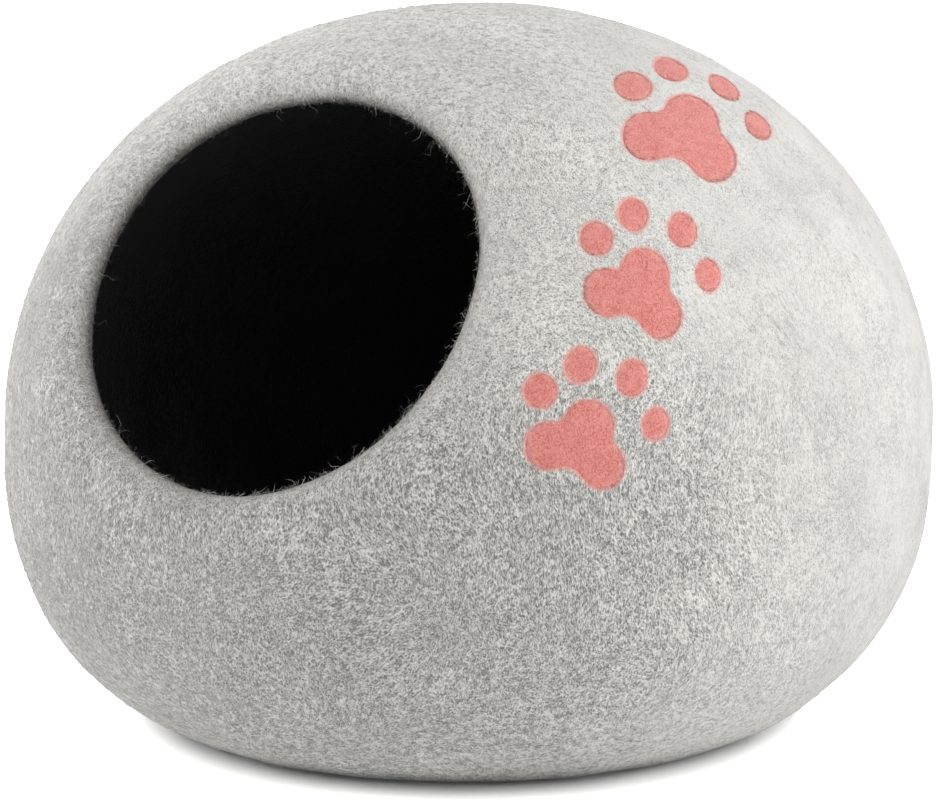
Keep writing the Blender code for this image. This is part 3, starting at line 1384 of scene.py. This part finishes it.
class StrandTree(Nodes):
    """Geometry nodes that grow short, curved, tapering strands on a felt surface.

    Each strand has a map of its own: its place across tells its tone, in a strip of MAP_WIDTH, and
    its place along tells how far along the strand a point lies.
    """

    SIZES = ("Density", "Length", "Thickness", "Curl", "Rise", "Lean", "Scatter", "Sink")
    SIDES = 3
    TAPER = 0.6
    MERGE = 0.003 * MM
    SCALES = (0.5, 1.3)
    MAP_WIDTH = 0.05

    def __init__(self, name: str, variants: int, stations: int) -> None:
        """Make the tree.

        Args:
            name: the tree's name.
            variants: how many different strands there are.
            stations: how many points each strand has.
        """
        super().__init__(bpy.data.node_groups.new(name, "GeometryNodeTree"))
        self.variants = variants
        self.stations = stations
        kinds = {"Geometry": "Geometry"} | dict.fromkeys(self.SIZES, "Float")
        kinds |= {"Seed": "Int", "Wool": "Material"}
        face = self.tree.interface
        face.new_socket("Geometry", in_out="OUTPUT", socket_type="NodeSocketGeometry")
        for label, kind in kinds.items():
            face.new_socket(label, in_out="INPUT", socket_type="NodeSocket" + kind)
        self.given = self.add("NodeGroupInput", {}, {})
        self.grow()

    def maths(self, operation: str, first: Any, second: Any = 0.0) -> Socket:
        """Return a sum of two numbers."""
        return self.add("ShaderNodeMath", {"operation": operation}, {0: first, 1: second})[0]

    def join(self, x: Any = 0.0, y: Any = 0.0, z: Any = 0.0) -> Socket:
        """Return a vector of three numbers."""
        return self.add("ShaderNodeCombineXYZ", {}, {"X": x, "Y": y, "Z": z})[0]

    def named(self, mark: Mark, kind: str) -> Socket:
        """Return what the surface carries under this name."""
        name = {"Name": mark.value}
        return self.add("GeometryNodeInputNamedAttribute", {"data_type": kind}, name)["Attribute"]

    def random(self, low: Any, high: Any, step: int) -> Socket:
        """Return a random number for each point.

        Args:
            low: the least value.
            high: the largest value.
            step: what keeps this draw apart from the others.

        Returns:
            The number.
        """
        seed = self.maths("ADD", self.given["Seed"], float(step))
        settings = {"data_type": "FLOAT"}
        values = {"Min_001": low, "Max_001": high, "Seed": seed}
        return self.add("FunctionNodeRandomValue", settings, values)["Value"]

    def store(
        self, shape: Any, mark: Mark, domain: str, value: Any, kind: str = "FLOAT"
    ) -> Socket:
        """Let the shape carry a value under this name.

        Args:
            shape: the shape.
            mark: the name.
            domain: where the value is kept.
            value: the value.
            kind: its type.

        Returns:
            The shape.
        """
        settings = {"data_type": kind, "domain": domain}
        values = {"Geometry": shape, "Name": mark.value, "Value": value}
        return self.add("GeometryNodeStoreNamedAttribute", settings, values)[0]

    def strand(self, number: int) -> Socket:
        """Return one strand, which starts at the origin, runs along +X and has its own bends.

        Args:
            number: which of the variants it is.

        Returns:
            The strand, as an instance.
        """
        given = self.given
        step = self.maths("DIVIDE", given["Length"], float(self.stations - 1))
        spaced = {"Count": self.stations, "Offset": self.join(step)}
        line = self.add("GeometryNodeMeshLine", {}, spaced)[0]
        free = self.maths("MINIMUM", self.add("GeometryNodeInputIndex", {}, {})[0], 1.0)
        reach = self.maths("MULTIPLY", given["Length"], free)
        sway = self.maths("MULTIPLY", reach, given["Curl"])
        side = self.maths("MULTIPLY", sway, self.random(-1.0, 1.0, 20 + number))
        back = self.maths("MULTIPLY", sway, self.random(-0.5, 0.3, 40 + number))
        rise = self.maths("MULTIPLY", reach, given["Rise"])
        rise = self.maths("MULTIPLY", rise, self.random(-0.4, 1.0, 60 + number))
        bends = {"Geometry": line, "Offset": self.join(back, side, rise)}
        curve = self.add("GeometryNodeSetPosition", {}, bends)[0]
        curve = self.add("GeometryNodeMeshToCurve", {}, {"Mesh": curve})[0]
        along = self.add("GeometryNodeSplineParameter", {}, {})["Factor"]
        curve = self.store(curve, Mark.ALONG, "POINT", along)
        swell = self.maths("MULTIPLY", along, self.maths("SUBTRACT", 1.0, along))
        swell = self.maths("POWER", self.maths("MULTIPLY", swell, 4.0), self.TAPER)
        width = self.maths("MULTIPLY", swell, given["Thickness"])
        curve = self.add("GeometryNodeSetCurveRadius", {}, {"Curve": curve, "Radius": width})[0]
        sized = {"Resolution": self.SIDES, "Radius": 0.5}
        ring = self.add("GeometryNodeCurvePrimitiveCircle", {}, sized)[0]
        turn = self.add("GeometryNodeSplineParameter", {}, {})[0]
        ring = self.store(ring, Mark.ROUND, "POINT", turn)
        swept = {"Curve": curve, "Profile Curve": ring, "Fill Caps": True}
        swept["Scale"] = self.add("GeometryNodeInputRadius", {}, {})[0]
        skin = self.add("GeometryNodeCurveToMesh", {}, swept)[0]
        merged = {"Geometry": skin, "Distance": self.MERGE}
        skin = self.add("GeometryNodeMergeByDistance", {}, merged)[0]
        return self.add("GeometryNodeGeometryToInstance", {}, {0: skin})[0]

    def grow(self) -> None:
        """Scatter the strands, turn them along the felt and make them one plain mesh."""
        given = self.given
        stock = self.tree.nodes.new("GeometryNodeJoinGeometry")
        for number in range(self.variants):
            self.tree.links.new(self.strand(number), stock.inputs[0])
        density = self.maths("MULTIPLY", given["Density"], self.named(Mark.GROWTH, "FLOAT"))
        spread = {"Mesh": given["Geometry"], "Density": density, "Seed": given["Seed"]}
        method = {"distribute_method": "RANDOM"}
        roots = self.add("GeometryNodeDistributePointsOnFaces", method, spread)
        axes = {"primary_axis": "Z", "secondary_axis": "X"}
        flow = self.named(Mark.FLOW, "FLOAT_VECTOR")
        basis = self.add("FunctionNodeAxesToRotation", axes, {0: roots["Normal"], 1: flow})[0]
        spin = self.random(self.maths("MULTIPLY", given["Scatter"], -1.0), given["Scatter"], 1)
        pitch = self.maths("MULTIPLY", self.random(0.0, given["Lean"], 2), -1.0)
        turn = self.add("FunctionNodeEulerToRotation", {}, {0: self.join(0.0, pitch, spin)})[0]
        turned = {0: basis, 1: turn}
        turned = self.add("FunctionNodeRotateRotation", {"rotation_space": "LOCAL"}, turned)[0]
        laid = {
            "Points": roots["Points"],
            "Instance": stock.outputs[0],
            "Pick Instance": True,
            "Rotation": turned,
            "Scale": self.join(*(self.random(*self.SCALES, 3) for _ in range(3))),
        }
        strands = self.add("GeometryNodeInstanceOnPoints", {}, laid)[0]
        tone = self.random(0.0, 1.0 - self.MAP_WIDTH, 4)
        strands = self.store(strands, Mark.TONE, "INSTANCE", tone)
        sunk = {"Instances": strands, "Local Space": True}
        sunk["Translation"] = self.join(0.0, 0.0, self.maths("MULTIPLY", given["Sink"], -1.0))
        strands = self.add("GeometryNodeTranslateInstances", {}, sunk)[0]
        plain = self.add("GeometryNodeRealizeInstances", {}, {"Geometry": strands})[0]
        place = self.maths("MULTIPLY", self.named(Mark.ROUND, "FLOAT"), self.MAP_WIDTH)
        place = self.maths("ADD", self.named(Mark.TONE, "FLOAT"), place)
        place = self.join(place, self.named(Mark.ALONG, "FLOAT"))
        plain = self.store(plain, Mark.STRAND_MAP, "CORNER", place, "FLOAT2")
        dressed = {"Geometry": plain, "Material": given["Wool"]}
        made = self.add("GeometryNodeSetMaterial", {}, dressed)[0]
        self.add("NodeGroupOutput", {}, {0: made})


@dataclass(frozen=True)
class Strands:
    """One growth of loose strands: how densely they stand to the square metre, and their shape."""

    name: str
    density: float
    length: float
    thickness: float
    curl: float
    rise: float
    lean: float
    scatter: float
    seed: int
    sink: float = 0.05 * MM

    def build(self, ground: Item, tree: StrandTree, wool: Material, finish: Finish) -> None:
        """Grow the strands and make them one plain mesh.

        Args:
            ground: the surface, which carries how densely they grow and how they lie.
            tree: the geometry nodes.
            wool: the strands' material.
            finish: the record's slot; not used.
        """
        modifier = ground.modifiers.new(self.name, "NODES")
        modifier.node_group = tree.tree
        for socket in tree.tree.interface.items_tree:
            label = socket.name.lower()
            if socket.in_out == "INPUT" and label in self.__dataclass_fields__:
                modifier[socket.identifier] = getattr(self, label)
            elif socket.name == "Wool":
                modifier[socket.identifier] = wool
        graph = bpy.context.evaluated_depsgraph_get()
        mesh = bpy.data.meshes.new_from_object(ground.evaluated_get(graph))
        mesh.name = self.name
        ground.modifiers.remove(modifier)
        finish_piece(put(self.name, mesh), wool)


@dataclass
class Fibres:
    """All the loose fibres of the cave, by where they grow."""

    form: CaveForm
    fuzz: tuple[Strands, ...] = (
        Strands("wool_curls", 27000.0, 3.6 * MM, 0.20 * MM, 0.24, 0.10, 0.10, math.pi, 101),
        Strands("wool_threads", 24000.0, 6.0 * MM, 0.16 * MM, 0.20, 0.07, 0.08, math.pi, 202),
        Strands("wool_wisps", 5000.0, 9.0 * MM, 0.12 * MM, 0.16, 0.12, 0.35, math.pi, 303),
    )
    rim: tuple[Strands, ...] = (
        Strands("lip_fuzz", 950000.0, 2.6 * MM, 0.14 * MM, 0.26, 0.35, 0.9, 1.6, 404),
        Strands("lip_wisps", 70000.0, 8.0 * MM, 0.09 * MM, 0.30, 0.40, 0.9, 1.5, 505),
    )
    fringe: tuple[Strands, ...] = (
        Strands("pad_fringe", 9000000.0, 2.6 * MM, 0.16 * MM, 0.26, 0.10, 0.10, 1.2, 606),
    )
    variants: int = 9
    lip_lining: float = 0.35
    lip_crowd: float = 3.0
    rim_lining: float = 0.46
    rim_width: float = 0.20
    pad_clearance: float = 0.3
    lowest_root: float = 4.5 * MM
    bare_start: float = 0.12
    bare_width: float = 0.09
    bare_share: float = 0.85
    lip_start: float = 0.01
    upward: Triple = (0.0, 0.0, 0.4)
    clump_counts: Triple = (7.0, 19.0, 43.0)
    clump_turn: float = 1.3
    clump_mean: float = 0.45
    clump_swing: float = 0.55
    clump_ripple: float = 0.3
    clump_least: float = 0.05
    fringe_start: float = 0.25
    fringe_width: float = 0.35
    fringe_end: float = 0.88
    fringe_least: float = 0.01
    grey: StrandWool = StrandWool("grey_strands", (0.50, 0.497, 0.475), (0.80, 0.80, 0.785))
    # The lip's strands are painted darker than the shell's: painted shade where they hang into the
    # cave.
    lip: StrandWool = StrandWool("lip_strands", (0.09, 0.09, 0.085), (0.46, 0.455, 0.44))
    coral: StrandWool = StrandWool("coral_strands", (0.66, 0.22, 0.20), (0.84, 0.52, 0.47))

    def ground(self, source: Item, growth: Array, flow: Array) -> Item:
        """Return a bare copy of a piece that carries where its strands grow and how they lie.

        Args:
            source: the piece.
            growth: how densely strands grow at each point.
            flow: which way they lie there.

        Returns:
            The copy.
        """
        item = put(source.name + "_ground", source.data.copy())
        carry(item, Mark.GROWTH, growth)
        carry(item, Mark.FLOW, flow)
        return item

    def grow(
        self, ground: Item, growths: Sequence[Strands], wool: Material, finish: Finish
    ) -> None:
        """Grow each kind of strand on the ground, and take the ground away.

        Args:
            ground: the surface, as ground returns it.
            growths: the kinds of strand.
            wool: their material.
            finish: the record's slot.
        """
        stations = 3 if finish is Finish.CORAL else 4
        tree = StrandTree(f"{ground.name}_strands", self.variants, stations)
        for growth in growths:
            growth.build(ground, tree, wool, finish)
        bpy.data.objects.remove(ground, do_unlink=True)

    def dress_shell(self, shell: Item) -> None:
        """Grow the shell's fuzz and the wisps at its lip.

        Args:
            shell: the finished shell, which carries how far round into the shaded inside each point
                lies.
        """
        points = mesh_points(shell)
        lining = carried(shell, Mark.LINING)
        edge = carried(shell, Mark.PAD_EDGE)
        wool = self.grey.material()
        rays = unit(points - self.form.centre)
        axis, _, _ = self.form.mouth_frame()
        level = np.cross(UP, rays) + self.upward
        open_wool = (lining < self.lip_lining) & (edge > self.pad_clearance)
        open_wool &= points[:, 2] > self.lowest_root
        at_lip = (lining > self.lip_start) & (lining < self.lip_lining)
        dense = 1.0 + self.lip_crowd * at_lip
        # Fewer strands on the side where the wool is painted light, so that it stays plain.
        side = points @ np.array(HeatherFelt.bleached.side)
        bare = np.clip((side - self.bare_start) / self.bare_width, 0.0, 1.0)
        dense = dense * (1.0 - bare * self.bare_share)
        self.grow(self.ground(shell, open_wool * dense, level), self.fuzz, wool, Finish.GREY)
        inward = axis * (rays @ axis)[:, None] - rays
        band = np.clip(1.0 - np.abs(lining - self.rim_lining) / self.rim_width, 0.0, 1.0)
        _, around = self.form.angles(rays)
        few, some, many = self.clump_counts
        clumps = self.clump_swing * np.sin(few * around + self.clump_turn) * np.sin(some * around)
        clumps = self.clump_mean + clumps + self.clump_ripple * np.sin(many * around)
        clumps = np.clip(clumps, self.clump_least, 1.0)
        wool = self.lip.material()
        self.grow(self.ground(shell, band * clumps, inward), self.rim, wool, Finish.GREY)

    def dress_pads(self, pads: Sequence[Item]) -> None:
        """Grow the fringe of the pads.

        Args:
            pads: the finished pads, which carry how near their edge each point lies.
        """
        wool = self.coral.material()
        flow = np.concatenate([points - points[0] for points in map(mesh_points, pads)])
        joined = bpy.data.meshes.new("pads_ground")
        work = bmesh.new()
        for pad in pads:
            work.from_mesh(pad.data)
        work.to_mesh(joined)
        work.free()
        source = bpy.data.objects.new("pads", joined)
        rim = carried(source, Mark.RIM)
        growth = (rim - self.fringe_start) / self.fringe_width
        growth = np.clip(growth, self.fringe_least, 1.0) * (rim < self.fringe_end)
        self.grow(self.ground(source, growth, flow), self.fringe, wool, Finish.CORAL)
        bpy.data.objects.remove(source, do_unlink=True)


# ---- Studio ----


@dataclass(frozen=True)
class Lamp:
    """A soft square lamp: where it hangs, seen from what it lights, its width and its power."""

    name: str
    azimuth: float
    elevation: float
    distance: float
    width: float
    power: float
    aim: Triple = (0.0, 0.0, 0.15)

    def hang(self) -> None:
        """Put the lamp in the scene."""
        light = bpy.data.lights.new(self.name, "AREA")
        light.shape = "SQUARE"
        light.size = self.width
        light.energy = self.power
        away = direction(self.azimuth, self.elevation)
        item = put(self.name, light)
        item.location = Vector(self.aim) + away * self.distance
        item.rotation_euler = away.to_track_quat("Z", "Y").to_euler()


def direction(azimuth: float, elevation: float) -> Vector:
    """Return a direction.

    Args:
        azimuth: its turn from -Y towards +X.
        elevation: its height above the horizon.

    Returns:
        The direction, of length 1.
    """
    across, up = math.radians(azimuth), math.radians(elevation)
    level = math.cos(up)
    return Vector((level * math.sin(across), -level * math.cos(across), math.sin(up)))


@dataclass
class Studio:
    """The camera, the lamps, the surround and the pale floor."""

    azimuth: float = 32.67
    elevation: float = 13.0
    distance: float = 1.8
    target: Triple = (0.0, 0.0, 0.1437)
    lens: float = 139.4
    sensor: float = 36.0
    shift_up: float = 0.0155
    floor_side: float = 8.0
    floor_drop: float = 0.2 * MM
    floor_lamps: int = 6
    floor_strength: float = 2.7
    floor_elevation: float = 44.0
    floor_softness: float = 40.0
    flag_reach: float = 0.170
    flag_drop: float = 0.6 * MM
    flag_corners: int = 64
    pale: StageFinish = StageFinish("pale_floor", (0.92, 0.92, 0.92), 0.9)
    card: StageFinish = StageFinish("dark_card", (0.03, 0.03, 0.03), 0.95)
    sky: float = 1.00
    ground: float = 0.97
    horizon: float = 0.2
    lamps: tuple[Lamp, ...] = (
        Lamp("key", 96.0, 10.0, 1.7, 1.3, 16.8),
        Lamp("edge", -120.0, 11.0, 1.7, 1.2, 20.0),
        Lamp("fill", -60.0, 2.0, 1.7, 1.0, 19.0),
        Lamp("crown", 165.0, 52.0, 1.7, 1.0, 3.0),
    )

    def set_camera(self) -> None:
        """Place the camera."""
        back = direction(self.azimuth, self.elevation)
        data = bpy.data.cameras.new("camera")
        data.lens = self.lens
        data.sensor_width = self.sensor
        data.shift_y = self.shift_up
        item = put("camera", data)
        item.location = Vector(self.target) + back * self.distance
        item.rotation_euler = back.to_track_quat("Z", "Y").to_euler()
        bpy.context.scene.camera = item

    def set_world(self) -> None:
        """Surround the object with soft light, brighter above the horizon than below it."""
        world = bpy.data.worlds.new("studio")
        bpy.context.scene.world = world
        world.use_nodes = True
        nodes = Nodes(world.node_tree)
        nodes.tree.nodes.clear()
        place = nodes.add("ShaderNodeTexCoord", {}, {})["Generated"]
        height = nodes.add("ShaderNodeSeparateXYZ", {}, {0: place})["Z"]
        reach = {"From Min": -self.horizon, "From Max": self.horizon}
        reach |= {"To Min": self.ground, "To Max": self.sky, "Value": height}
        glow = nodes.add("ShaderNodeMapRange", SMOOTH, reach)[0]
        light = nodes.add("ShaderNodeBackground", {}, {"Strength": glow})[0]
        nodes.add("ShaderNodeOutputWorld", {}, {0: light})

    def lay(
        self, name: str, rim: Sequence[tuple[float, float]], drop: float, material: Material
    ) -> Item:
        """Lay a flat piece of the stage.

        Args:
            name: its name.
            rim: its corners.
            drop: how far it lies below the base.
            material: its material.

        Returns:
            The piece.
        """
        mesh = bpy.data.meshes.new(name)
        mesh.from_pydata([(x, y, -drop) for x, y in rim], [], [tuple(range(len(rim)))])
        mesh.materials.append(material)
        return put(name, mesh)

    def lay_floor(self) -> None:
        """Lay the floor just under the base, with soft lamps all round that light it alone."""
        half = self.floor_side / 2.0
        corners = [(-half, -half), (half, -half), (half, half), (-half, half)]
        floor = self.lay("floor", corners, self.floor_drop, self.pale.material())
        floor.visible_diffuse = False
        floor.visible_glossy = False
        lit = bpy.data.collections.new("floor_alone")
        lit.objects.link(floor)
        for step in range(self.floor_lamps):
            light = bpy.data.lights.new(f"floor_lamp_{step}", "SUN")
            light.angle = math.radians(self.floor_softness)
            light.energy = self.floor_strength
            azimuth = self.azimuth + 360.0 * step / self.floor_lamps
            away = direction(azimuth, self.floor_elevation)
            lamp = put(light.name, light)
            lamp.rotation_euler = away.to_track_quat("Z", "Y").to_euler()
            lamp.light_linking.receiver_collection = lit

    def lay_flag(self) -> None:
        """Lay a dark disc under the floor, which keeps light from below off the base."""
        turns = [math.tau * step / self.flag_corners for step in range(self.flag_corners)]
        rim = [(self.flag_reach * math.cos(t), self.flag_reach * math.sin(t)) for t in turns]
        flag = self.lay("flag", rim, self.flag_drop, self.card.material())

    def build(self) -> None:
        """Set up the whole studio."""
        self.set_camera()
        self.set_world()
        self.lay_floor()
        self.lay_flag()
        for lamp in self.lamps:
            lamp.hang()
        settings = bpy.context.scene.view_settings
        settings.view_transform = "Standard"
        settings.look = "None"


def main() -> None:
    """Build the cave in order, and report each piece."""
    logging.basicConfig(level=logging.INFO, format="%(name)s: %(message)s")
    Studio().build()
    form = CaveForm()
    paws = (
        PawPrint("paw_low", 44.8, 9.5, 25.0, 1.00, 1.00, 0.00),
        PawPrint("paw_mid", 54.2, 26.1, 31.0, 1.00, 1.14, 0.00),
        PawPrint("paw_top", 75.8, 47.3, 37.7, 1.22, 1.81, 0.40),
    )
    shell = FeltShell(form, paws).build(HeatherFelt().material())
    coral = CoralFelt().material()
    pads = []
    for paw in paws:
        for pad in PADS:
            segments = PALM_SEGMENTS if isinstance(pad, Palm) else TOE_SEGMENTS
            pads.append(FeltPad(paw, pad, segments).build(coral))
    fibres = Fibres(form)
    fibres.dress_shell(shell)
    fibres.dress_pads(pads)


if __name__ == "__main__":
    main()
